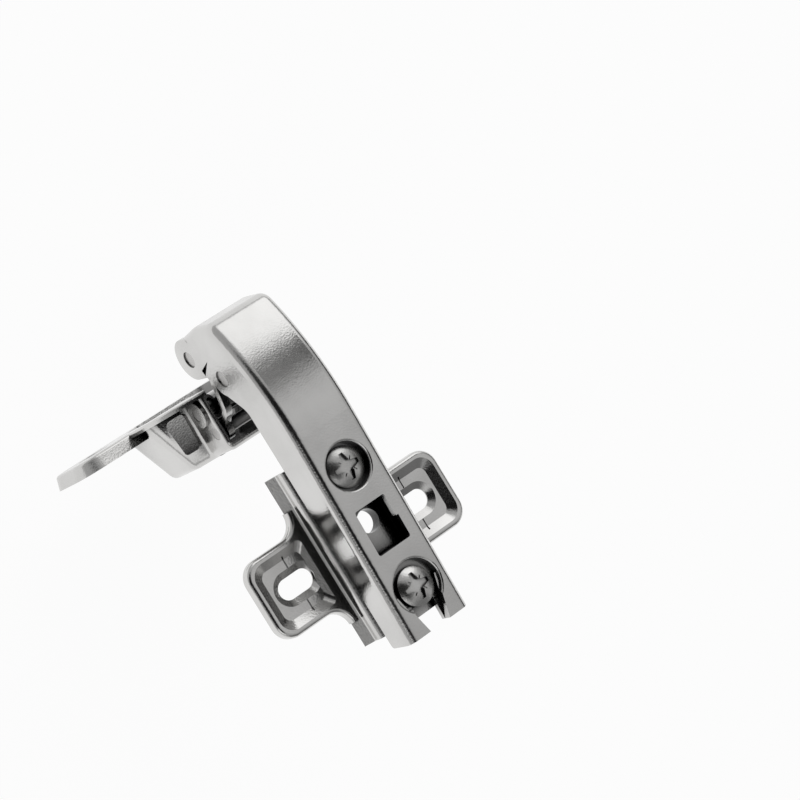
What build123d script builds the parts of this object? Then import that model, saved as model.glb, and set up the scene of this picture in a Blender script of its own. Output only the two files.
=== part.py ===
from build123d import *
import math
import os

os.makedirs("parts", exist_ok=True)

# All sizes are in millimetres and degrees.
# The origin is midway between the two slots of the mounting plate, on the cabinet face.
# X runs along the arm towards the cup, Y along the pivots, Z away from the cabinet.

# Fits
RUN_GAP = 0.05
PRESS = 0.01
LOOSE_GAP = 0.30
OPEN_PIVOT_GAP = 0.60

# Mounting plate
SHEET = 1.2
PLATE_REAR = -18.3
PLATE_AHEAD = 5.25
WEB_TOP = 10.6
LIP_OUT = 1.9
LIP_Z = 0.45
FOOT_IN = 0.1
FOOT_LOW_Z = 2.4
FOOT_HIGH_Z = 4.3
RAIL_LOW_Z = 5.9
RAIL_LEAN = 0.6
WING_HALF = 8.8
WING_TIP = 25.6
WING_HEIGHT = 2.2
WING_ROOT_OUT = 2.3
WING_TUCK = 2.1
WING_CORNER = 4.0
WING_EDGE_R = 0.9
GROOVE_IN = 1.1
GROOVE_WIDTH = 1.0
GROOVE_ROOF = 1.1
RIM_WIDTH = 1.35
TRAY_DEPTH = 1.0
TRAY_SLOPE = 1.9
SLOT_Y = 16.0
SLOT_LENGTH = 8.4
SLOT_WIDTH = 4.4
SINK_LENGTH = 11.3
SINK_WIDTH = 7.4
SINK_START_Z = 0.3
MARK_X = 5.0
MARK_LENGTH = 2.6
MARK_WIDTH = 0.36
MARK_DEPTH = 0.2
CENTRE_HOLE_X = 3.4
CENTRE_HOLE_R = 2.5
COLLAR_R = 3.45
COLLAR_END = 7.8
KEY_ROUND_BACK = 4.15
KEY_ROUND_R = 3.1
KEY_SLOT_WIDTH = 4.3
KEY_SLOT_AHEAD = 1.45

# Arm, drawn in its own side view: u runs along the top from the rear, n square to the top
ARM_REAR_X = -21.5
ARM_OVER_WEB = 3.3
ARM_TOP_Z = WEB_TOP + ARM_OVER_WEB
ARM_TILT = 3.0
ARM_SHEET = 1.3
ARM_HALF = 8.0
ADJUST_U = 36.7
CROWN_AHEAD = 23.2
NOSE_AHEAD = 15.1
CROWN_BEND_U = ADJUST_U + CROWN_AHEAD
NOSE_U = CROWN_BEND_U + NOSE_AHEAD
CROWN_STRAIGHT = 0.88
NOSE_TOP_BACK = 0.7
NOSE_DROP = 7.4
NOSE_R = 3.2
NOSE_FACE_DROP = 15.0
NOSE_FACE_R = 8.0
FRONT_WALL_DROP = 16.2
FRONT_LOBE_R = 4.5
KNEE_BACK = 7.9
KNEE_DROP = 10.6
SIDE_MIDDLE_AHEAD = 5.3
SIDE_MIDDLE_DROP = 9.8
SIDE_REAR_DROP = 7.6
OUTER_ROUND = 1.9
INNER_ROUND = 0.7
REAR_LOBE_R = 3.9
LOBE_STEP_IN = 0.3
LOBE_STEP_DROP = 4.0
NECK_BACK = 3.4
NECK_DROP = 1.7
DISH_DEPTH = 2.0
DISH_SHEET = 1.1
DISH_LIP_R = 0.5
FRONT_DISH_R = 5.0
REAR_DISH_R = 5.5
REAR_SLOT_WIDTH = 5.3
REAR_SLOT_AHEAD = 1.4
NOTCH_WIDTH = 4.7
NOTCH_BEHIND = 3.0
TAIL_WIDTH = 10.0
RIDGES = 5
RIDGE_BEHIND = 4.6
RIDGE_PITCH = 0.8
RIDGE_WIDTH = 0.35
RIDGE_DEPTH = 0.2
WINDOW_U = 23.2
WINDOW_LENGTH = 10.1
WINDOW_WIDTH = 8.4
WINDOW_STEP = 0.6

# Screws
FIX_X = -12.4
HEAD_R = 4.1
ADJUST_SHANK_R = 2.8
NECK_R = 1.8
FOOT_R = 2.75
FIX_SHANK_R = 2.4
DOME_R = 8.0
STAR_REACH = 2.9
STAR_TIP = 0.45
STAR_ROOT = 0.95
STAR_DEPTH = 1.1
LINE_REACH = 4.35
LINE_WIDTH = 0.3
LINE_DEPTH = 0.45
FIX_HEAD_OVER = 2.15
FIX_HEAD_HEIGHT = 1.8
FIX_SHANK_END = 6.4
THREADS = 3
THREAD_START_Z = 6.9
THREAD_PITCH = 0.8
THREAD_WIDTH = 0.35
THREAD_DEPTH = 0.3
POINT_R = 1.3
POINT_END = 4.8
ADJUST_HEAD_OVER = 0.15
ADJUST_HEAD_SUNK = 0.2
NECK_START = 0.6
FOOT_HEIGHT = 1.1

# Pivots of the linkage: the arm's two are set back from the nose and down from the top
FRONT_PIN_BACK = 5.52
FRONT_PIN_DROP = 21.27
REAR_PIN_BACK = 11.60
REAR_PIN_DROP = 13.14
ARM_PIN_R = 1.8
PIN_SUNK = 0.3
CUP_PIN_R = 1.4
LINK_HALF = ARM_HALF - ARM_SHEET - LOOSE_GAP
LINK_SHEET = 1.4
ARM_EYE_R = 3.1
DEEP_EYE_R = 2.45
SHALLOW_EYE_R = 2.75
FORK_INNER = 3.75
FORK_SHEET = 1.55
TONGUE_GAP = 0.4
TONGUE_HALF = FORK_INNER - TONGUE_GAP
FORK_ROOT_HALF = 2.8
FORK_ROOT_LENGTH = 8.5
LINK_BEND = 3.2
LINK_BEND_AT = 5.6
TONGUE_SHOULDER = 6.5
SHOULDER_IN = 0.6
TIP_HOLE_WIDTH = 4.2
SPRING_SHEET = 0.8
SPRING_HALF = 3.0
SPRING_CLEAR = 0.5
SPRING_TIP_BACK = 3.0
SPRING_TIP_UP = 3.6

# Cup and flange: the cup is set back from the front arm pin and down from it
MOUTH_BACK = 6.8
CUP_DROP = 22.3
CUP_R = 17.5
SCREW_LINE = 9.5
SCREW_PITCH = 45.0
FLANGE_LENGTH = 62.0
FLANGE_WIDTH = 19.5
FLANGE_DEPTH = 3.0
FLANGE_CORNER = 5.5
FLANGE_SLOPE = 0.9
FLANGE_EDGE_R = 0.8
FLANGE_HOLE_R = 2.1
FLANGE_SINK_R = 3.75
FLANGE_SINK_DEPTH = 1.7
DIMPLE_R = 4.3
DIMPLE_END_R = 2.9
DIMPLE_END = 2.9
DIMPLE_HEIGHT = 2.0
EAR_EDGE_R = 0.5
EAR_TUCK = 1.5
CUP_SHEET = 1.1
CUP_DEPTH = 13.8
CUP_BASE_R = 2.0
CUP_HALF = 15.5
CUP_BASE_HALF = 10.0
SHOULDER_UP = 6.5
SHOULDER_FALL = 3.0
SHOULDER_BASE_FALL = 4.0
LOW_CORNER_IN = 6.5
LOW_CORNER_DROP = 6.0
BASE_CORNER_IN = 2.5
BASE_CORNER_DROP = 3.0
BASE_STEP = 0.5
HOUSING_HALF = 6.9
HOUSING_UP = 15.0
HOUSING_FLOOR_DOWN = 3.0
HOUSING_SLOT_DOWN = 1.9
HOUSING_SLOT_OVER = 0.2
HOUSING_MOUTH_BACK = 6.9
DEEP_PIN_BACK = 9.13
DEEP_PIN_UP = 12.86
SHALLOW_PIN_BACK = 3.94
SHALLOW_PIN_UP = 11.26
PAD_R = 2.9
PAD_OUT = 0.8
SIDE_WINDOW_DEEP = 3.6
SIDE_WINDOW_SHALLOW = 2.1
SIDE_WINDOW_IN = 0.4
SIDE_WINDOW_OUT = 3.7


def direction(start, end):
    """Unit vector between two flat points."""
    across, up = end[0] - start[0], end[1] - start[1]
    length = math.hypot(across, up)
    return across / length, up / length


def corner(before, here, after, radius):
    """Start, middle and end of the arc that rounds one corner."""
    back = direction(here, before)
    ahead = direction(here, after)
    half = math.acos(max(-1.0, min(1.0, back[0] * ahead[0] + back[1] * ahead[1]))) / 2
    reach = radius / math.tan(half)
    middle_way = direction((0, 0), (back[0] + ahead[0], back[1] + ahead[1]))
    far = radius / math.sin(half)
    start = (here[0] + back[0] * reach, here[1] + back[1] * reach)
    end = (here[0] + ahead[0] * reach, here[1] + ahead[1] * reach)
    middle = (here[0] + middle_way[0] * (far - radius), here[1] + middle_way[1] * (far - radius))
    return start, middle, end


def rounded(points):
    """Closed face through corners given as (across, up, radius)."""
    count = len(points)
    marks = []
    for i, (across, up, radius) in enumerate(points):
        if radius > 0:
            marks.append(corner(points[i - 1], (across, up), points[(i + 1) % count], radius))
        else:
            marks.append(((across, up), None, (across, up)))
    edges = []
    for i in range(count):
        start, middle, end = marks[i]
        if middle:
            edges.append(ThreePointArc(start, middle, end))
        following = marks[(i + 1) % count][0]
        if math.dist(end, following) > 1e-5:
            edges.append(Line(end, following))
    return make_face(edges)


def shifted(before, here, after, distance):
    """Corner moved to the left of the line through it by a distance."""
    one = direction(before, here) if before else direction(here, after)
    two = direction(here, after) if after else one
    left_one, left_two = (-one[1], one[0]), (-two[1], two[0])
    scale = distance / (1 + left_one[0] * left_two[0] + left_one[1] * left_two[1])
    across = here[0] + (left_one[0] + left_two[0]) * scale
    up = here[1] + (left_one[1] + left_two[1]) * scale
    return across, up, one[0] * two[1] - one[1] * two[0]


def strip(points, thickness):
    """Face of a bent sheet of even thickness along an open line."""
    sides = []
    for sign in (1, -1):
        side_points = []
        for i, point in enumerate(points):
            before = points[i - 1] if i else None
            after = points[i + 1] if i + 1 < len(points) else None
            across, up, turn = shifted(before, point, after, sign * thickness / 2)
            inner = sign * turn > 0
            radius = point[2] + (-thickness / 2 if inner else thickness / 2) if point[2] else 0
            side_points.append((across, up, max(radius, 0)))
        sides.append(side_points)
    return rounded(sides[0] + sides[1][::-1])


def inset(points, distance):
    """Corners of a clockwise outline moved inwards."""
    count = len(points)
    moved = []
    for i, point in enumerate(points):
        across, up, turn = shifted(points[i - 1], point, points[(i + 1) % count], -distance)
        radius = point[2] - distance if turn < 0 else point[2] + distance
        moved.append((across, up, max(radius, 0.3)))
    return moved


def side(face, low, high):
    """Solid of a side view between two widths."""
    plane = Plane((0, high, 0), x_dir=(1, 0, 0), z_dir=(0, -1, 0))
    return extrude(plane * face, amount=high - low)


def both_sides(face, low, high):
    """Two mirrored solids of a side view."""
    return side(face, low, high) + side(face, -high, -low)


def across_pin(point, radius, half):
    """Round bar along Y through a side-view point."""
    return side(Pos(point[0], point[1]) * Circle(radius), -half, half)


def block(low, high):
    """Box between two corners."""
    size = [b - a for a, b in zip(low, high)]
    middle = [(a + b) / 2 for a, b in zip(low, high)]
    return Pos(*middle) * Box(*size)


def rod(centre, radius, low, high):
    """Upright cylinder at a plan point."""
    return Pos(centre[0], centre[1], (low + high) / 2) * Cylinder(radius, high - low)


def arm_place():
    """Location of the arm's own side view in the frame."""
    return Location((ARM_REAR_X, 0, ARM_TOP_Z), (0, -ARM_TILT, 0))


def in_arm(point):
    """Frame (x, z) as the arm's own (u, n)."""
    turn = math.radians(ARM_TILT)
    across, up = point[0] - ARM_REAR_X, point[1] - ARM_TOP_Z
    return (across * math.cos(turn) + up * math.sin(turn),
            up * math.cos(turn) - across * math.sin(turn))


def from_arm(along, above):
    """The arm's own (u, n) as frame (x, z)."""
    turn = math.radians(ARM_TILT)
    return (ARM_REAR_X + along * math.cos(turn) - above * math.sin(turn),
            ARM_TOP_Z + along * math.sin(turn) + above * math.cos(turn))


FRONT_PIN = from_arm(NOSE_U - FRONT_PIN_BACK, -FRONT_PIN_DROP)
REAR_PIN = from_arm(NOSE_U - REAR_PIN_BACK, -REAR_PIN_DROP)
MOUTH_X = FRONT_PIN[0] - MOUTH_BACK
CUP_CENTRE_Z = FRONT_PIN[1] - CUP_DROP
SHOULDER_Z = CUP_CENTRE_Z + SHOULDER_UP
CUP_ARM_END = CUP_CENTRE_Z + HOUSING_UP
DEEP_PIN = (MOUTH_X - DEEP_PIN_BACK, CUP_CENTRE_Z + DEEP_PIN_UP)
SHALLOW_PIN = (MOUTH_X - SHALLOW_PIN_BACK, CUP_CENTRE_Z + SHALLOW_PIN_UP)
ADJUST_X = from_arm(ADJUST_U, 0)[0]
PLATE_FRONT = ADJUST_X + PLATE_AHEAD
WING_ROOT = ARM_HALF + WING_ROOT_OUT


def screw_head(radius, under, top):
    """Domed head with a tapered cross and a small star between its arms."""
    head = rod((0, 0), radius, under, top) & (Pos(0, 0, top - DOME_R) * Sphere(DOME_R))
    points = []
    for turn in range(4):
        angle = math.radians(90 * turn)
        for along, across in ((STAR_REACH, -STAR_TIP), (STAR_REACH, STAR_TIP), (STAR_ROOT, STAR_ROOT)):
            points.append((along * math.cos(angle) - across * math.sin(angle),
                           along * math.sin(angle) + across * math.cos(angle)))
    edges = [Line(one, two) for one, two in zip(points, points[1:] + points[:1])]
    head -= Pos(0, 0, top - STAR_DEPTH) * extrude(make_face(edges), amount=2)
    lines = Box(LINE_REACH, LINE_WIDTH, 2 * LINE_DEPTH) + Box(LINE_WIDTH, LINE_REACH, 2 * LINE_DEPTH)
    return head - Pos(0, 0, top) * Rot(0, 0, 45) * lines


def plate_rails():
    """Hat section of the mounting plate over its full length."""
    middle = WEB_TOP - SHEET / 2
    rail = ARM_HALF - ARM_SHEET - LOOSE_GAP - SHEET / 2
    foot = ARM_HALF - FOOT_IN
    half = [(ARM_HALF + LIP_OUT, LIP_Z, 0), (foot, FOOT_LOW_Z, 1.2), (foot, FOOT_HIGH_Z, 1.0),
            (rail, RAIL_LOW_Z, 1.0), (rail - RAIL_LEAN, middle, 1.3)]
    mirrored = [(-across, up, radius) for across, up, radius in half]
    face = strip(mirrored + half[::-1], SHEET)
    return extrude(Plane.YZ.offset(PLATE_REAR) * face, amount=PLATE_FRONT - PLATE_REAR)


def groove_outline(back, past):
    """Outline inside the wing's rim, open towards the root."""
    wide, far, radius = WING_HALF - back, WING_TIP - back, WING_CORNER - back
    return rounded([(wide, WING_ROOT - past, 0), (wide, far, radius), (-wide, far, radius),
                    (-wide, WING_ROOT - past, 0)])


def plate_wing(way):
    """One wing: a shallow tray with a turned-down rim, a sunk slot and score marks."""
    flare = WING_HALF + WING_CORNER + 0.1
    low, tip = WING_ROOT - WING_TUCK, WING_TIP
    outline = rounded([(flare, low, 0), (flare, WING_ROOT, 0), (WING_HALF, WING_ROOT, WING_CORNER),
                       (WING_HALF, tip, WING_CORNER), (-WING_HALF, tip, WING_CORNER),
                       (-WING_HALF, WING_ROOT, WING_CORNER), (-flare, WING_ROOT, 0), (-flare, low, 0)])
    tray = extrude(outline, amount=WING_HEIGHT)
    crown = [e for e in tray.edges().group_by(Axis.Z)[-1]
             if e.center().Y > low + 0.5 and abs(e.center().X) < flare - 0.01]
    tray = fillet(crown, WING_EDGE_R)
    floor = WING_HEIGHT - TRAY_DEPTH
    half, end = WING_HALF - RIM_WIDTH, tip - RIM_WIDTH
    pockets = []
    for back, height in ((TRAY_SLOPE, floor), (0, WING_HEIGHT)):
        wide, far, near = half - back, end - back, WING_ROOT + 0.6 + back * 0.6
        pocket = rounded([(wide, near, 1.2), (wide, far, 3.2 - back * 0.8), (-wide, far, 3.2 - back * 0.8),
                          (-wide, near, 1.2)])
        pockets.append(Pos(0, 0, height) * pocket)
    tray -= loft(pockets, ruled=True)
    outer, inner = groove_outline(GROOVE_IN, 0), groove_outline(GROOVE_IN + GROOVE_WIDTH, 1)
    tray -= extrude(outer - inner, amount=WING_HEIGHT - GROOVE_ROOF)
    slot = Rot(0, 0, 90) * SlotOverall(SLOT_LENGTH, SLOT_WIDTH)
    sink = Rot(0, 0, 90) * SlotOverall(SINK_LENGTH, SINK_WIDTH)
    tray -= Pos(0, SLOT_Y, -1) * extrude(slot, amount=5)
    tray -= loft([Pos(0, SLOT_Y, SINK_START_Z) * slot, Pos(0, SLOT_Y, floor + 0.02) * sink])
    long, wide = MARK_LENGTH / 2, MARK_WIDTH / 2
    for mark in (MARK_X, -MARK_X):
        tray -= block((mark - long, SLOT_Y - wide, floor - MARK_DEPTH),
                      (mark + long, SLOT_Y + wide, floor + 1))
    return tray if way > 0 else mirror(tray, about=Plane.XZ)


def mounting_plate():
    """Pressed plate with rails, two wings, a collared hole and a key slot."""
    plate = plate_rails() + plate_wing(1) + plate_wing(-1)
    web_under = WEB_TOP - SHEET
    plate += rod((CENTRE_HOLE_X, 0), COLLAR_R, COLLAR_END, web_under + 0.1)
    plate -= rod((CENTRE_HOLE_X, 0), CENTRE_HOLE_R, COLLAR_END - 1, WEB_TOP + 1)
    key_round, key_end = ADJUST_X - KEY_ROUND_BACK, ADJUST_X + KEY_SLOT_AHEAD
    plate -= rod((key_round, 0), KEY_ROUND_R, web_under - 1, WEB_TOP + 1)
    half = KEY_SLOT_WIDTH / 2
    plate -= block((key_round, -half, web_under - 1), (key_end, half, WEB_TOP + 1))
    plate -= rod((key_end, 0), half, web_under - 1, WEB_TOP + 1)
    plate -= rod((FIX_X, 0), FIX_SHANK_R + RUN_GAP, web_under - 1, WEB_TOP + 1)
    return plate


def fixing_screw():
    """Rear screw: crossed head, threaded shank with a pointed end."""
    under = WEB_TOP + FIX_HEAD_OVER
    core = FIX_SHANK_R - THREAD_DEPTH
    screw = screw_head(HEAD_R, under, under + FIX_HEAD_HEIGHT)
    screw += rod((0, 0), FIX_SHANK_R, FIX_SHANK_END, under + 0.1)
    for turn in range(THREADS):
        ring = Cylinder(FIX_SHANK_R + 1, THREAD_WIDTH) - Cylinder(core, THREAD_WIDTH)
        screw -= Pos(0, 0, THREAD_START_Z + turn * THREAD_PITCH) * ring
    screw += Pos(0, 0, FIX_SHANK_END - 0.5) * Cone(POINT_R, core, 1.0)
    screw += rod((0, 0), POINT_R, POINT_END, FIX_SHANK_END - 0.9)
    return Pos(FIX_X, 0, 0) * screw


def crown_bend():
    """Radius of the arm's long bend, and where on the flat top it starts."""
    along = NOSE_U - NOSE_TOP_BACK - CROWN_BEND_U
    slope = math.atan2(NOSE_DROP, along)
    face = math.atan2(NOSE_FACE_DROP - NOSE_DROP, NOSE_TOP_BACK)
    nose = NOSE_R * math.tan((face - slope) / 2)
    reach = math.hypot(along, NOSE_DROP) - nose - CROWN_STRAIGHT
    return reach / math.tan(slope / 2), CROWN_BEND_U - reach


def crown_line(depth):
    """The arm's top and nose as corners, moved inwards by a depth."""
    front = in_arm(FRONT_PIN)
    bend = crown_bend()[0]
    line = [(-10, 0, 0), (CROWN_BEND_U, 0, bend), (NOSE_U - NOSE_TOP_BACK, -NOSE_DROP, NOSE_R),
            (NOSE_U, -NOSE_FACE_DROP, NOSE_FACE_R), (front[0] + FRONT_LOBE_R, front[1], 0)]
    moved = []
    for i, point in enumerate(line):
        before = line[i - 1] if i else None
        after = line[i + 1] if i + 1 < len(line) else None
        across, up, turn = shifted(before, point, after, -depth)
        moved.append((across, up, max(point[2] - depth, 0)))
    return moved


def arm_sides():
    """Side outline of the arm with the two pin lobes."""
    front, rear = in_arm(FRONT_PIN), in_arm(REAR_PIN)
    left = front[0] - FRONT_LOBE_R
    corners = [(0, 0, 0)] + crown_line(0)[1:]
    corners += [(left, front[1], 0), (left - LOBE_STEP_IN, rear[1] - LOBE_STEP_DROP, 0.8),
                (rear[0] - NECK_BACK, rear[1] - NECK_DROP, 1.0), (rear[0] - KNEE_BACK, -KNEE_DROP, 4),
                (ADJUST_U + SIDE_MIDDLE_AHEAD, -SIDE_MIDDLE_DROP, 0), (0, -SIDE_REAR_DROP, 0.8)]
    face = rounded(corners)
    face += Pos(*front) * Circle(FRONT_LOBE_R)
    face += Pos(*rear) * Circle(REAR_LOBE_R)
    return face


def arm_hollow():
    """Side outline of the space inside the arm's channel."""
    line = crown_line(ARM_SHEET)
    far = -2 * FRONT_PIN_DROP
    return rounded(line[:-1] + [(line[-2][0], far, 0), (line[0][0], far, 0)])


def tail(width, low, high):
    """Run of the rear dish out to the arm's rear edge, as a solid."""
    fix_u = in_arm((FIX_X, ARM_TOP_Z))[0]
    wide, narrow = width / 2, (width - TAIL_WIDTH + REAR_SLOT_WIDTH) / 2
    points = [(0, -narrow), (fix_u, -wide), (fix_u, wide), (0, narrow)]
    edges = [Line(one, two) for one, two in zip(points, points[1:] + points[:1])]
    return Pos(0, 0, low) * extrude(make_face(edges), amount=high - low)


def crown_edges(solid, half):
    """Long top and front edges of the arm at one half width."""
    chosen = []
    for edge in solid.edges():
        middle = edge.center()
        on_side = all(abs(abs(v.Y) - half) < 0.01 for v in edge.vertices())
        low = -FRONT_PIN_DROP + 1.8 if middle.X > NOSE_U - 5 else -NOSE_DROP + 0.9
        on_crown = middle.X > 0.5 and middle.Z > low
        if on_side and on_crown and abs(abs(middle.Y) - half) < 0.01:
            chosen.append(edge)
    return chosen


def hinge_arm():
    """Pressed cranked arm: channel, pin lobes, two dished screw seats and a window."""
    front, rear = in_arm(FRONT_PIN), in_arm(REAR_PIN)
    outside = side(arm_sides(), -ARM_HALF, ARM_HALF)
    outside = fillet(crown_edges(outside, ARM_HALF), OUTER_ROUND)
    inner_half = ARM_HALF - ARM_SHEET
    inside = side(arm_hollow(), -inner_half, inner_half)
    inside = fillet(crown_edges(inside, inner_half), INNER_ROUND)
    arm = outside - inside
    arm -= block((CROWN_BEND_U, -inner_half, -2 * FRONT_PIN_DROP), (NOSE_U + 1, inner_half, -FRONT_WALL_DROP))
    fix_u = in_arm((FIX_X, ARM_TOP_Z))[0]
    for at, radius in ((ADJUST_U, FRONT_DISH_R), (fix_u, REAR_DISH_R)):
        arm += rod((at, 0), radius + DISH_SHEET, -DISH_DEPTH - DISH_SHEET, -0.9)
        arm -= rod((at, 0), radius, -DISH_DEPTH, 3)
    arm += tail(TAIL_WIDTH + 2 * DISH_SHEET, -DISH_DEPTH - DISH_SHEET, -0.9)
    lips = [e for e in arm.edges().filter_by(GeomType.CIRCLE)
            if abs(e.center().Z) < 0.01 and abs(e.center().Y) < 0.01 and e.radius > HEAD_R]
    arm = fillet(lips, DISH_LIP_R)
    arm -= tail(TAIL_WIDTH, -DISH_DEPTH, 3)
    for mark in range(RIDGES):
        along = fix_u - RIDGE_BEHIND + mark * RIDGE_PITCH
        arm -= block((along, -TAIL_WIDTH / 2, -DISH_DEPTH - RIDGE_DEPTH),
                     (along + RIDGE_WIDTH, TAIL_WIDTH / 2, -DISH_DEPTH + 0.1))
    arm -= rod((ADJUST_U, 0), ADJUST_SHANK_R + RUN_GAP, -5, 1)
    slot_half = REAR_SLOT_WIDTH / 2
    slot_end = fix_u + REAR_SLOT_AHEAD
    arm -= block((-2, -slot_half, -6), (slot_end, slot_half, -DISH_DEPTH + 0.1))
    arm -= rod((slot_end, 0), slot_half, -6, -DISH_DEPTH + 0.1)
    arm -= block((-2, -NOTCH_WIDTH / 2, -6), (fix_u - NOTCH_BEHIND, NOTCH_WIDTH / 2, 1))
    back, ahead = WINDOW_U - WINDOW_LENGTH / 2, WINDOW_U + WINDOW_LENGTH / 2
    wide = WINDOW_WIDTH / 2
    narrow = WINDOW_STEP - wide
    window = rounded([(back, -wide, 0.5), (WINDOW_U, -wide, 0), (WINDOW_U, narrow, 0),
                      (ahead, narrow, 0.5), (ahead, wide, 0.5), (back, wide, 0.5)])
    arm -= Pos(0, 0, -2.5) * extrude(window, amount=4)
    for pin in (front, rear):
        arm -= across_pin(pin, ARM_PIN_R - PRESS, ARM_HALF + 1)
    nick = rounded([(rear[0] + 4.4, rear[1] - 1.6, 0), (rear[0] + 1.8, rear[1] - 5.4, 0),
                    (front[0] - 3.0, front[1] + 2.4, 0)])
    arm -= both_sides(nick, inner_half - 0.5, ARM_HALF + 1)
    return arm_place() * arm


def adjusting_screw():
    """Front screw of the arm, with a neck and a flat foot in the plate's key slot."""
    under = -DISH_DEPTH + ADJUST_HEAD_OVER
    top = -ADJUST_HEAD_SUNK
    at_plate = (ARM_TOP_Z - WEB_TOP) + ADJUST_U * math.sin(math.radians(ARM_TILT))
    foot_top = -(at_plate + SHEET + LOOSE_GAP)
    screw = screw_head(HEAD_R + 0.15, under, top)
    screw += rod((0, 0), ADJUST_SHANK_R, NECK_START - 0.05 - at_plate, under + 0.1)
    screw += rod((0, 0), NECK_R, foot_top - 0.1, NECK_START - at_plate)
    screw += rod((0, 0), FOOT_R, foot_top - FOOT_HEIGHT, foot_top)
    return arm_place() * Pos(ADJUST_U, 0, 0) * screw


def leaf_spring():
    """Flat spring under the arm's crown, reaching the eye of the inner link."""
    high = -ARM_SHEET - SPRING_SHEET / 2
    tip = in_arm(REAR_PIN)
    start = ADJUST_U + FRONT_DISH_R + DISH_SHEET + SPRING_CLEAR
    flat = (crown_bend()[1] - start) / 2
    face = strip([(start, high, 0), (start + flat, high, 2 * flat),
                  (tip[0] - SPRING_TIP_BACK, tip[1] + SPRING_TIP_UP, 0)], SPRING_SHEET)
    return arm_place() * side(face, -SPRING_HALF, SPRING_HALF)


def arm_pin(point):
    """Pivot pin pressed into the arm's two walls, its ends just below the faces."""
    return across_pin(point, ARM_PIN_R, ARM_HALF - PIN_SUNK)


def cup_pin(point, half):
    """Pivot pin pressed into the cup's housing."""
    return across_pin(point, CUP_PIN_R, half)


def outer_link():
    """Forked link from the front arm pin to the deep cup pin."""
    way = direction(DEEP_PIN, FRONT_PIN)
    bend = (DEEP_PIN[0] + way[0] * LINK_BEND_AT - way[1] * LINK_BEND,
            DEEP_PIN[1] + way[1] * LINK_BEND_AT + way[0] * LINK_BEND)
    path = [(*DEEP_PIN, 0), (*bend, 3.0), (*FRONT_PIN, 0)]
    outer = FORK_INNER + FORK_SHEET
    legs = both_sides(strip(path, LINK_SHEET), FORK_INNER, outer)
    back = direction(FRONT_PIN, bend)
    root = [(FRONT_PIN[0] - back[1] * FORK_ROOT_HALF, FRONT_PIN[1] + back[0] * FORK_ROOT_HALF, 0),
            (FRONT_PIN[0] + back[0] * FORK_ROOT_LENGTH, FRONT_PIN[1] + back[1] * FORK_ROOT_LENGTH, 0),
            (FRONT_PIN[0] + back[1] * FORK_ROOT_HALF, FRONT_PIN[1] - back[0] * FORK_ROOT_HALF, 0)]
    legs += both_sides(rounded(root), FORK_INNER, outer)
    link = legs + across_pin(FRONT_PIN, ARM_EYE_R, LINK_HALF)
    link += both_sides(Pos(*DEEP_PIN) * Circle(DEEP_EYE_R), FORK_INNER, outer)
    link -= across_pin(FRONT_PIN, ARM_PIN_R + RUN_GAP, ARM_HALF)
    link -= across_pin(DEEP_PIN, CUP_PIN_R + RUN_GAP, ARM_HALF)
    return link


def inner_link():
    """Tongue link from the rear arm pin to the shallow cup pin."""
    way = direction(REAR_PIN, SHALLOW_PIN)
    shoulder = (REAR_PIN[0] + way[0] * TONGUE_SHOULDER, REAR_PIN[1] + way[1] * TONGUE_SHOULDER)
    link = side(strip([(*REAR_PIN, 0), (*SHALLOW_PIN, 0)], LINK_SHEET), -TONGUE_HALF, TONGUE_HALF)
    wide = LINK_HALF - SHOULDER_IN
    link += side(strip([(*REAR_PIN, 0), (*shoulder, 0)], LINK_SHEET), -wide, wide)
    link += across_pin(REAR_PIN, ARM_EYE_R, LINK_HALF)
    link += across_pin(SHALLOW_PIN, SHALLOW_EYE_R, TONGUE_HALF)
    link -= across_pin(REAR_PIN, ARM_PIN_R + RUN_GAP, ARM_HALF)
    link -= across_pin(SHALLOW_PIN, CUP_PIN_R + OPEN_PIVOT_GAP, ARM_HALF)
    far_off = TONGUE_SHOULDER - LINK_SHEET
    near = (REAR_PIN[0] + way[0] * ARM_EYE_R, REAR_PIN[1] + way[1] * ARM_EYE_R)
    far = (REAR_PIN[0] + way[0] * far_off, REAR_PIN[1] + way[1] * far_off)
    half = TIP_HOLE_WIDTH / 2
    link -= side(strip([(*near, 0), (*far, 0)], 2 * half - 0.2), -half, half)
    return link


def mouth_outline():
    """Outline of the drawn cup at its mouth, as (y, z, radius), clockwise."""
    low = CUP_CENTRE_Z - SCREW_LINE
    half = [(HOUSING_HALF, CUP_ARM_END, 1.0), (HOUSING_HALF, SHOULDER_Z, 2.0),
            (CUP_HALF, SHOULDER_Z - SHOULDER_FALL, 3.0), (CUP_HALF, low, 6.0),
            (CUP_HALF - LOW_CORNER_IN, low - LOW_CORNER_DROP, 5.0)]
    return half + [(-across, up, radius) for across, up, radius in half[::-1]]


def bottom_outline():
    """Outline of the drawn cup at its bottom, as (y, z, radius), clockwise."""
    low = CUP_CENTRE_Z - SCREW_LINE + BASE_STEP
    half = [(HOUSING_HALF, CUP_ARM_END, 1.0), (HOUSING_HALF, SHOULDER_Z - BASE_STEP, 1.5),
            (CUP_BASE_HALF, SHOULDER_Z - SHOULDER_BASE_FALL, 2.0), (CUP_BASE_HALF, low, 3.0),
            (CUP_BASE_HALF - BASE_CORNER_IN, low - BASE_CORNER_DROP, 2.5)]
    return half + [(-across, up, radius) for across, up, radius in half[::-1]]


def at_x(face, x):
    """Face drawn in Y and Z, placed across X."""
    return Plane.YZ.offset(x) * face


def pan(x, length, width, radius):
    """Rounded oblong of the flange at one depth."""
    return at_x(Pos(0, CUP_CENTRE_Z - SCREW_LINE) * RectangleRounded(length, width, radius), x)


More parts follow.
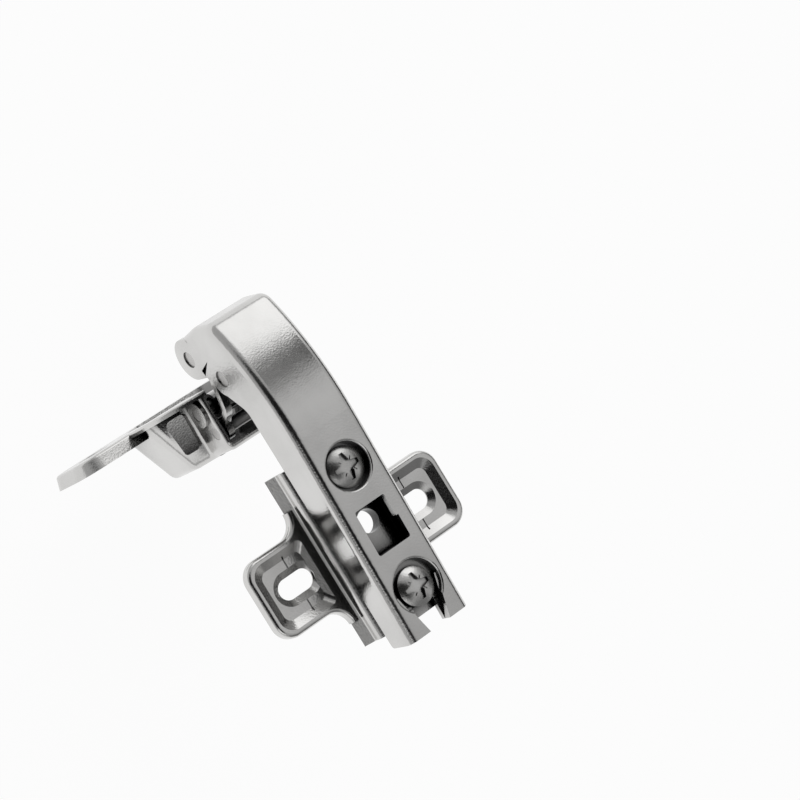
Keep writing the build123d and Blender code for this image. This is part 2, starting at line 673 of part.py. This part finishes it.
def flange():
    """Long pan-shaped flange, the flat round ears and the dimpled screw holes."""
    line = CUP_CENTRE_Z - SCREW_LINE
    back = MOUTH_X - FLANGE_DEPTH
    slope, wall = 2 * FLANGE_SLOPE, 2 * CUP_SHEET
    outer = [pan(back, FLANGE_LENGTH, FLANGE_WIDTH, FLANGE_CORNER),
             pan(MOUTH_X, FLANGE_LENGTH - slope, FLANGE_WIDTH - slope, FLANGE_CORNER - FLANGE_SLOPE)]
    body = loft(outer)
    body = fillet(body.edges().group_by(Axis.X)[-1], FLANGE_EDGE_R)
    length, width, radius = FLANGE_LENGTH - wall, FLANGE_WIDTH - wall, FLANGE_CORNER - CUP_SHEET
    body -= loft([pan(back - 0.001, length, width, radius),
                  pan(MOUTH_X - CUP_SHEET, length - slope, width - slope, radius - FLANGE_SLOPE)])
    ear = extrude(at_x(Pos(0, CUP_CENTRE_Z) * Circle(CUP_R), MOUTH_X - CUP_SHEET), amount=CUP_SHEET)
    ear = fillet(ear.edges().group_by(Axis.X)[-1], EAR_EDGE_R)
    ear -= block((back, -CUP_R - 1, CUP_CENTRE_Z - CUP_R - 1),
                 (MOUTH_X + 1, CUP_R + 1, line + FLANGE_WIDTH / 2 - EAR_TUCK))
    body += ear
    middle = MOUTH_X - DIMPLE_END + DIMPLE_HEIGHT / 2
    for way in (1, -1):
        spot = Pos(0, way * SCREW_PITCH / 2, line) * Rot(0, 90, 0)
        body += Pos(middle, 0, 0) * spot * Cone(DIMPLE_END_R, DIMPLE_R, DIMPLE_HEIGHT)
    return body


def flange_holes():
    """Sunk screw holes of the flange, as solids to take away."""
    line = CUP_CENTRE_Z - SCREW_LINE
    holes = None
    for way in (1, -1):
        spot = Pos(0, way * SCREW_PITCH / 2, line) * Rot(0, 90, 0)
        hole = Pos(MOUTH_X, 0, 0) * spot * Cylinder(FLANGE_HOLE_R, 12)
        sink = Cone(FLANGE_HOLE_R, FLANGE_SINK_R, FLANGE_SINK_DEPTH)
        hole += Pos(MOUTH_X + 0.01 - FLANGE_SINK_DEPTH / 2, 0, 0) * spot * sink
        holes = hole if holes is None else holes + hole
    return holes


def side_window(way):
    """Opening in one sloped shoulder of the cup, as a solid to take away."""
    deep, shallow = MOUTH_X - CUP_DEPTH + SIDE_WINDOW_DEEP, MOUTH_X - SIDE_WINDOW_SHALLOW
    near, far = HOUSING_HALF + SIDE_WINDOW_IN, HOUSING_HALF + SIDE_WINDOW_OUT
    flare = (CUP_HALF - CUP_BASE_HALF) / CUP_DEPTH * (shallow - deep) * 0.4
    face = rounded([(deep, near, 0.8), (shallow, near, 0.8), (shallow, far + flare, 1.2), (deep, far, 0.8)])
    window = Pos(0, 0, SHOULDER_Z - 5.0) * extrude(face, amount=7.0)
    return window if way > 0 else mirror(window, about=Plane.XZ)


def hinge_cup():
    """Drawn steel cup in one piece with its flange."""
    bottom = MOUTH_X - CUP_DEPTH
    body = loft([at_x(rounded(bottom_outline()), bottom), at_x(rounded(mouth_outline()), MOUTH_X - 0.3)],
                ruled=True)
    body = fillet(body.edges().group_by(Axis.X)[0], CUP_BASE_R)
    cup = flange() + body
    cavity = loft([at_x(rounded(inset(bottom_outline(), CUP_SHEET)), bottom + CUP_SHEET),
                   at_x(rounded(inset(mouth_outline(), CUP_SHEET)), MOUTH_X + 0.5)], ruled=True)
    cup -= cavity
    inner = HOUSING_HALF - CUP_SHEET
    above, past = CUP_ARM_END + HOUSING_FLOOR_DOWN, MOUTH_X + CUP_SHEET
    cup -= block((bottom + CUP_SHEET, -inner, CUP_ARM_END - HOUSING_FLOOR_DOWN), (past, inner, above))
    cup -= block((bottom - 1, -inner, SHOULDER_Z + HOUSING_SLOT_OVER),
                 (bottom + 2, inner, CUP_ARM_END - HOUSING_SLOT_DOWN))
    cup -= block((MOUTH_X - HOUSING_MOUTH_BACK, -inner, CUP_ARM_END - 0.01), (past, inner, above))
    cup += both_sides(Pos(*SHALLOW_PIN) * Circle(PAD_R), inner, HOUSING_HALF + PAD_OUT)
    for pin in (SHALLOW_PIN, DEEP_PIN):
        cup -= across_pin(pin, CUP_PIN_R - PRESS, CUP_HALF)
    for way in (1, -1):
        cup -= side_window(way)
    return cup - flange_holes()


def write(name, shape):
    """Write one piece of the hinge."""
    shape.label = name
    export_step(shape, "parts/" + name + ".step")


write("mounting_plate", mounting_plate())
write("fixing_screw", fixing_screw())
write("hinge_arm", hinge_arm())
write("adjusting_screw", adjusting_screw())
write("leaf_spring", leaf_spring())
write("front_arm_pin", arm_pin(FRONT_PIN))
write("rear_arm_pin", arm_pin(REAR_PIN))
write("outer_link", outer_link())
write("inner_link", inner_link())
write("hinge_cup", hinge_cup())
write("shallow_cup_pin", cup_pin(SHALLOW_PIN, HOUSING_HALF + PAD_OUT - 0.1))
write("deep_cup_pin", cup_pin(DEEP_PIN, HOUSING_HALF - 0.05))
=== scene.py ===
import bpy
from mathutils import Matrix, Vector


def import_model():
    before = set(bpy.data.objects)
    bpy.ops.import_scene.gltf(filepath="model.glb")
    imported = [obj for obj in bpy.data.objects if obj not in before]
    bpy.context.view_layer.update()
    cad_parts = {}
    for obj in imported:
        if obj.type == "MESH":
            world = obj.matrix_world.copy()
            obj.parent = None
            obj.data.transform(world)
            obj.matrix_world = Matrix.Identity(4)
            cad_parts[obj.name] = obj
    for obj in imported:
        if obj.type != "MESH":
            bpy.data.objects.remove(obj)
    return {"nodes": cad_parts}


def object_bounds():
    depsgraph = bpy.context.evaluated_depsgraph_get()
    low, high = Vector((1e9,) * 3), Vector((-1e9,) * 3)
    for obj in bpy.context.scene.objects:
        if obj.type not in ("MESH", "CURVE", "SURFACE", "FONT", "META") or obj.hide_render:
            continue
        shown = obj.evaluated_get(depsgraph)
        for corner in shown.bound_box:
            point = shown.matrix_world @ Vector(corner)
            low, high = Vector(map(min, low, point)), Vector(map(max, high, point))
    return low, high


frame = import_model()
cad_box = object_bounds()

# Lengths are in metres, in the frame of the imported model.
# Camera: its place, its three directions, its lens and what it can see, near and far
CAMERA_PLACE = (0.06056, 0.26641, 0.51186)
CAMERA_RIGHT = (-0.51904193, -0.7229084, 0.45606899)
CAMERA_UP = (0.8518647, -0.48129632, 0.2065923)
CAMERA_BACK = (0.07015702, 0.49573914, 0.86563312)
CAMERA_LENS = 128.9
SENSOR = 36.0
SEEN_FROM = 0.01
SEEN_TO = 20

# Floor: its height below the hinge, its side, its finish, and the share that shows pure white
FLOOR_DROP = 0.012
FLOOR_SIZE = 6.0
FLOOR_COLOUR = (0.84, 0.84, 0.84)
FLOOR_ROUGH = 0.9
FLOOR_SHINE = 0.1
FLOOR_WHITE_SHARE = 0.95

# Studio surround: direction, cosine where it starts, cosine where it is full, brightness
ROOM_TONE = 0.49
BACKGROUND_TONE = 1.0
SURROUND = (
    ((0.70, -0.50, 0.55), 0.88, 0.975, 1.36),
    ((0.30, -0.50, 0.82), 0.980, 0.997, 0.10),
    ((0.02, -0.50, 0.87), 0.965, 0.998, 0.64),
    ((-0.90, -0.25, 0.40), 0.80, 0.95, 0.20),
    ((-0.05, -0.99, 0.05), 0.84, 0.95, 0.05),
    ((-0.03, 0.44, 0.89), 0.77, 0.91, 0.01),
    ((-0.50, 0.60, 0.62), 0.92, 0.98, 0.95),
    ((0.0, 0.0, -1.0), -0.10, 0.0, 0.95),
)

# Lamps: name, place, size and power in watts
LAMPS = (
    ("key", (0.75, -0.6, 0.8), 0.5, 2.4),
    ("side", (-0.7, 0.9, 0.5), 0.5, 1.6),
)

# Colours of the metals
NICKEL = (0.655, 0.65, 0.64)
NICKEL_SHADE = (0.585, 0.58, 0.57)
PIN_STEEL = (0.52, 0.51, 0.50)
SPRING_STEEL = (0.20, 0.20, 0.21)
SPRING_SHADE = (0.27, 0.27, 0.28)

# Finishes: colour, cloud colour, roughness from and to, and clouds per metre
FINISHES = {
    "nickel_plate": (NICKEL, NICKEL_SHADE, (0.13, 0.21), 90.0),
    "nickel_screw": (NICKEL, NICKEL_SHADE, (0.18, 0.28), 240.0),
    "pin_steel": (PIN_STEEL, NICKEL_SHADE, (0.26, 0.36), 300.0),
    "spring_steel": (SPRING_STEEL, SPRING_SHADE, (0.3, 0.42), 90.0),
}

# Clouds: the noise between these values carries the tone and the gloss
CLOUD_DETAIL = 3.0
TONE_CLOUDS = (0.35, 0.7)
GLOSS_CLOUDS = (0.3, 0.7)

# Relief: waves for each cloud, grain per metre, and the strength and height of each
RELIEF_DETAIL = 2.0
WAVES_PER_CLOUD = 4
WAVE_STRENGTH = 0.05
WAVE_HEIGHT = 0.0004
GRAIN_SCALE = 2800.0
GRAIN_STRENGTH = 0.36
GRAIN_HEIGHT = 0.00006

# Painted shade in recesses: its dark tone, the reach and rays of the ambient occlusion test for a recess,
# and the open shares it darkens between
PAINTED_SHADE_TONE = (0.04, 0.04, 0.04)
PAINTED_SHADE_REACH = 0.030
PAINTED_SHADE_SAMPLES = 16
PAINTED_SHADE_OPEN = (0.30, 0.78)

# Sockets of a colour mix, which share their names with its other kinds
MIX_SHARE = 0
MIX_FIRST = 6
MIX_SECOND = 7
MIX_RESULT = 2


def node(tree, kind, **values):
    """New shader node with its input sockets set by name."""
    made = tree.nodes.new(kind)
    for name, value in values.items():
        made.inputs[name.replace("_", " ")].default_value = value
    return made


def combined(tree, operation, first, second):
    """Sum or product of a socket and a second socket or a number, kept from zero to one."""
    made = tree.nodes.new("ShaderNodeMath")
    made.operation = operation
    made.use_clamp = True
    tree.links.new(first, made.inputs[0])
    if isinstance(second, float):
        made.inputs[1].default_value = second
    else:
        tree.links.new(second, made.inputs[1])
    return made.outputs[0]


def mixed(tree, share, first, second):
    """Colour from the first to the second by a share. Each is a colour or a socket."""
    made = tree.nodes.new("ShaderNodeMix")
    made.data_type = "RGBA"
    tree.links.new(share, made.inputs[MIX_SHARE])
    for socket, colour in ((MIX_FIRST, first), (MIX_SECOND, second)):
        if isinstance(colour, tuple):
            made.inputs[socket].default_value = (*colour, 1)
        else:
            tree.links.new(colour, made.inputs[socket])
    return made.outputs[MIX_RESULT]


def spread(tree, source, reach, to=(0.0, 1.0), soft=False):
    """The values within a reach carried over to another, with soft ends where asked."""
    made = node(tree, "ShaderNodeMapRange", From_Min=reach[0], From_Max=reach[1], To_Min=to[0], To_Max=to[1])
    if soft:
        made.interpolation_type = "SMOOTHSTEP"
    tree.links.new(source, made.inputs["Value"])
    return made.outputs["Result"]


def noise(tree, place, scale, detail):
    """Noise in object space at a scale per metre."""
    made = node(tree, "ShaderNodeTexNoise", Scale=scale, Detail=detail)
    tree.links.new(place, made.inputs["Vector"])
    return made.outputs["Fac"]


def bump(tree, height, strength, distance, under=None):
    """Fine relief for a shader's normal, laid over another where one is given."""
    made = node(tree, "ShaderNodeBump", Strength=strength, Distance=distance)
    tree.links.new(height, made.inputs["Height"])
    if under is not None:
        tree.links.new(under, made.inputs["Normal"])
    return made.outputs["Normal"]


def painted_shade_in_recesses(tree, tone):
    """Tone with painted shade: it goes dark where the surface lies deep in a recess, as an ambient occlusion
    test finds it.
    """
    open_share = node(tree, "ShaderNodeAmbientOcclusion", Distance=PAINTED_SHADE_REACH)
    open_share.samples = PAINTED_SHADE_SAMPLES
    share = spread(tree, open_share.outputs["AO"], PAINTED_SHADE_OPEN)
    return mixed(tree, share, PAINTED_SHADE_TONE, tone)


def metal(name, colour, shade, rough, cloud):
    """Plated or bare metal: cloudy tone, painted shade in recesses, fine orange peel and grain, and uneven
    gloss.
    """
    material = bpy.data.materials.new(name)
    material.use_nodes = True
    tree = material.node_tree
    shader = tree.nodes["Principled BSDF"]
    shader.inputs["Metallic"].default_value = 1.0
    place = tree.nodes.new("ShaderNodeTexCoord").outputs["Object"]
    clouds = noise(tree, place, cloud, CLOUD_DETAIL)
    tone = mixed(tree, spread(tree, clouds, TONE_CLOUDS), colour, shade)
    # The base colour carries painted shade, which darkens it in recesses.
    tree.links.new(painted_shade_in_recesses(tree, tone), shader.inputs["Base Color"])
    tree.links.new(spread(tree, clouds, GLOSS_CLOUDS, rough), shader.inputs["Roughness"])
    swell = noise(tree, place, cloud * WAVES_PER_CLOUD, RELIEF_DETAIL)
    waves = bump(tree, swell, WAVE_STRENGTH, WAVE_HEIGHT)
    grain = noise(tree, place, GRAIN_SCALE, RELIEF_DETAIL)
    fine = bump(tree, grain, GRAIN_STRENGTH, GRAIN_HEIGHT, waves)
    tree.links.new(fine, shader.inputs["Normal"])
    return material


def finish_of(name):
    """Name of the finish that a node of the model takes."""
    if name == "leaf_spring":
        return "spring_steel"
    if "pin" in name:
        return "pin_steel"
    if "screw" in name:
        return "nickel_screw"
    return "nickel_plate"


def dress():
    """Give every node of the model its finish."""
    finishes = {name: metal(name, *values) for name, values in FINISHES.items()}
    for name, piece in frame["nodes"].items():
        piece.data.materials.clear()
        piece.data.materials.append(finishes[finish_of(name)])


def camera():
    """Camera at the photograph's viewing angle."""
    data = bpy.data.cameras.new("camera")
    data.sensor_width = SENSOR
    data.lens = CAMERA_LENS
    data.clip_start = SEEN_FROM
    data.clip_end = SEEN_TO
    made = bpy.data.objects.new("camera", data)
    turn = Matrix((CAMERA_RIGHT, CAMERA_UP, CAMERA_BACK)).transposed().to_4x4()
    made.matrix_world = Matrix.Translation(CAMERA_PLACE) @ turn
    bpy.context.scene.collection.objects.link(made)
    bpy.context.scene.camera = made


def seen_or_mirrored(tree):
    """One for what the camera sees straight on, mirrored or through something clear."""
    path = tree.nodes.new("ShaderNodeLightPath").outputs
    mirrored = combined(tree, "ADD", path["Is Camera Ray"], path["Is Glossy Ray"])
    return combined(tree, "ADD", mirrored, path["Is Transmission Ray"])


def floor_material():
    """Pale floor that shows nearly white and keeps a faint shadow."""
    material = bpy.data.materials.new("floor")
    material.use_nodes = True
    tree = material.node_tree
    shader = tree.nodes["Principled BSDF"]
    shader.inputs["Base Color"].default_value = (*FLOOR_COLOUR, 1)
    shader.inputs["Roughness"].default_value = FLOOR_ROUGH
    shader.inputs["Specular IOR Level"].default_value = FLOOR_SHINE
    white = node(tree, "ShaderNodeEmission", Strength=BACKGROUND_TONE)
    share = combined(tree, "MULTIPLY", seen_or_mirrored(tree), FLOOR_WHITE_SHARE)
    mix = tree.nodes.new("ShaderNodeMixShader")
    for socket, source in enumerate((share, shader.outputs[0], white.outputs[0])):
        tree.links.new(source, mix.inputs[socket])
    tree.links.new(mix.outputs[0], tree.nodes["Material Output"].inputs["Surface"])
    return material


def floor():
    """Plain pale floor below the hinge."""
    low = cad_box[0].z - FLOOR_DROP
    half = FLOOR_SIZE / 2
    corners = [(-half, -half, low), (half, -half, low), (half, half, low), (-half, half, low)]
    mesh = bpy.data.meshes.new("floor")
    mesh.from_pydata(corners, [], [(0, 1, 2, 3)])
    mesh.materials.append(floor_material())
    made = bpy.data.objects.new("floor", mesh)
    bpy.context.scene.collection.objects.link(made)


def lamp(name, place, size, power):
    """Soft square lamp aimed at the hinge. The metal doesn't mirror it: the surround does that."""
    data = bpy.data.lights.new(name, "AREA")
    data.shape = "SQUARE"
    data.size = size
    data.energy = power
    made = bpy.data.objects.new(name, data)
    made.location = place
    made.rotation_mode = "QUATERNION"
    middle = (cad_box[0] + cad_box[1]) / 2
    made.rotation_quaternion = (middle - Vector(place)).to_track_quat("-Z", "Y")
    made.visible_glossy = False
    bpy.context.scene.collection.objects.link(made)


def towards(tree, place, way, reach):
    """One towards a direction and zero away from it, with a soft edge."""
    made = tree.nodes.new("ShaderNodeVectorMath")
    made.operation = "DOT_PRODUCT"
    made.inputs[1].default_value = Vector(way).normalized()
    tree.links.new(place, made.inputs[0])
    return spread(tree, made.outputs["Value"], reach, soft=True)


def grey(brightness):
    """Colour without hue."""
    return (brightness, brightness, brightness)


def world():
    """Studio surround: grey room, soft boxes and dark cards, white behind the object."""
    made = bpy.data.worlds.new("studio")
    bpy.context.scene.world = made
    made.use_nodes = True
    tree = made.node_tree
    place = tree.nodes.new("ShaderNodeTexCoord").outputs["Generated"]
    tone = grey(ROOM_TONE)
    for way, start, full, brightness in SURROUND:
        tone = mixed(tree, towards(tree, place, way, (start, full)), tone, grey(brightness))
    seen = tree.nodes.new("ShaderNodeLightPath").outputs["Is Camera Ray"]
    tone = mixed(tree, seen, tone, grey(BACKGROUND_TONE))
    back = tree.nodes["Background"]
    back.inputs["Strength"].default_value = 1.0
    tree.links.new(tone, back.inputs["Color"])


dress()
camera()
floor()
world()
for name, place, size, power in LAMPS:
    lamp(name, place, size, power)

bpy.context.scene.view_settings.view_transform = "Standard"
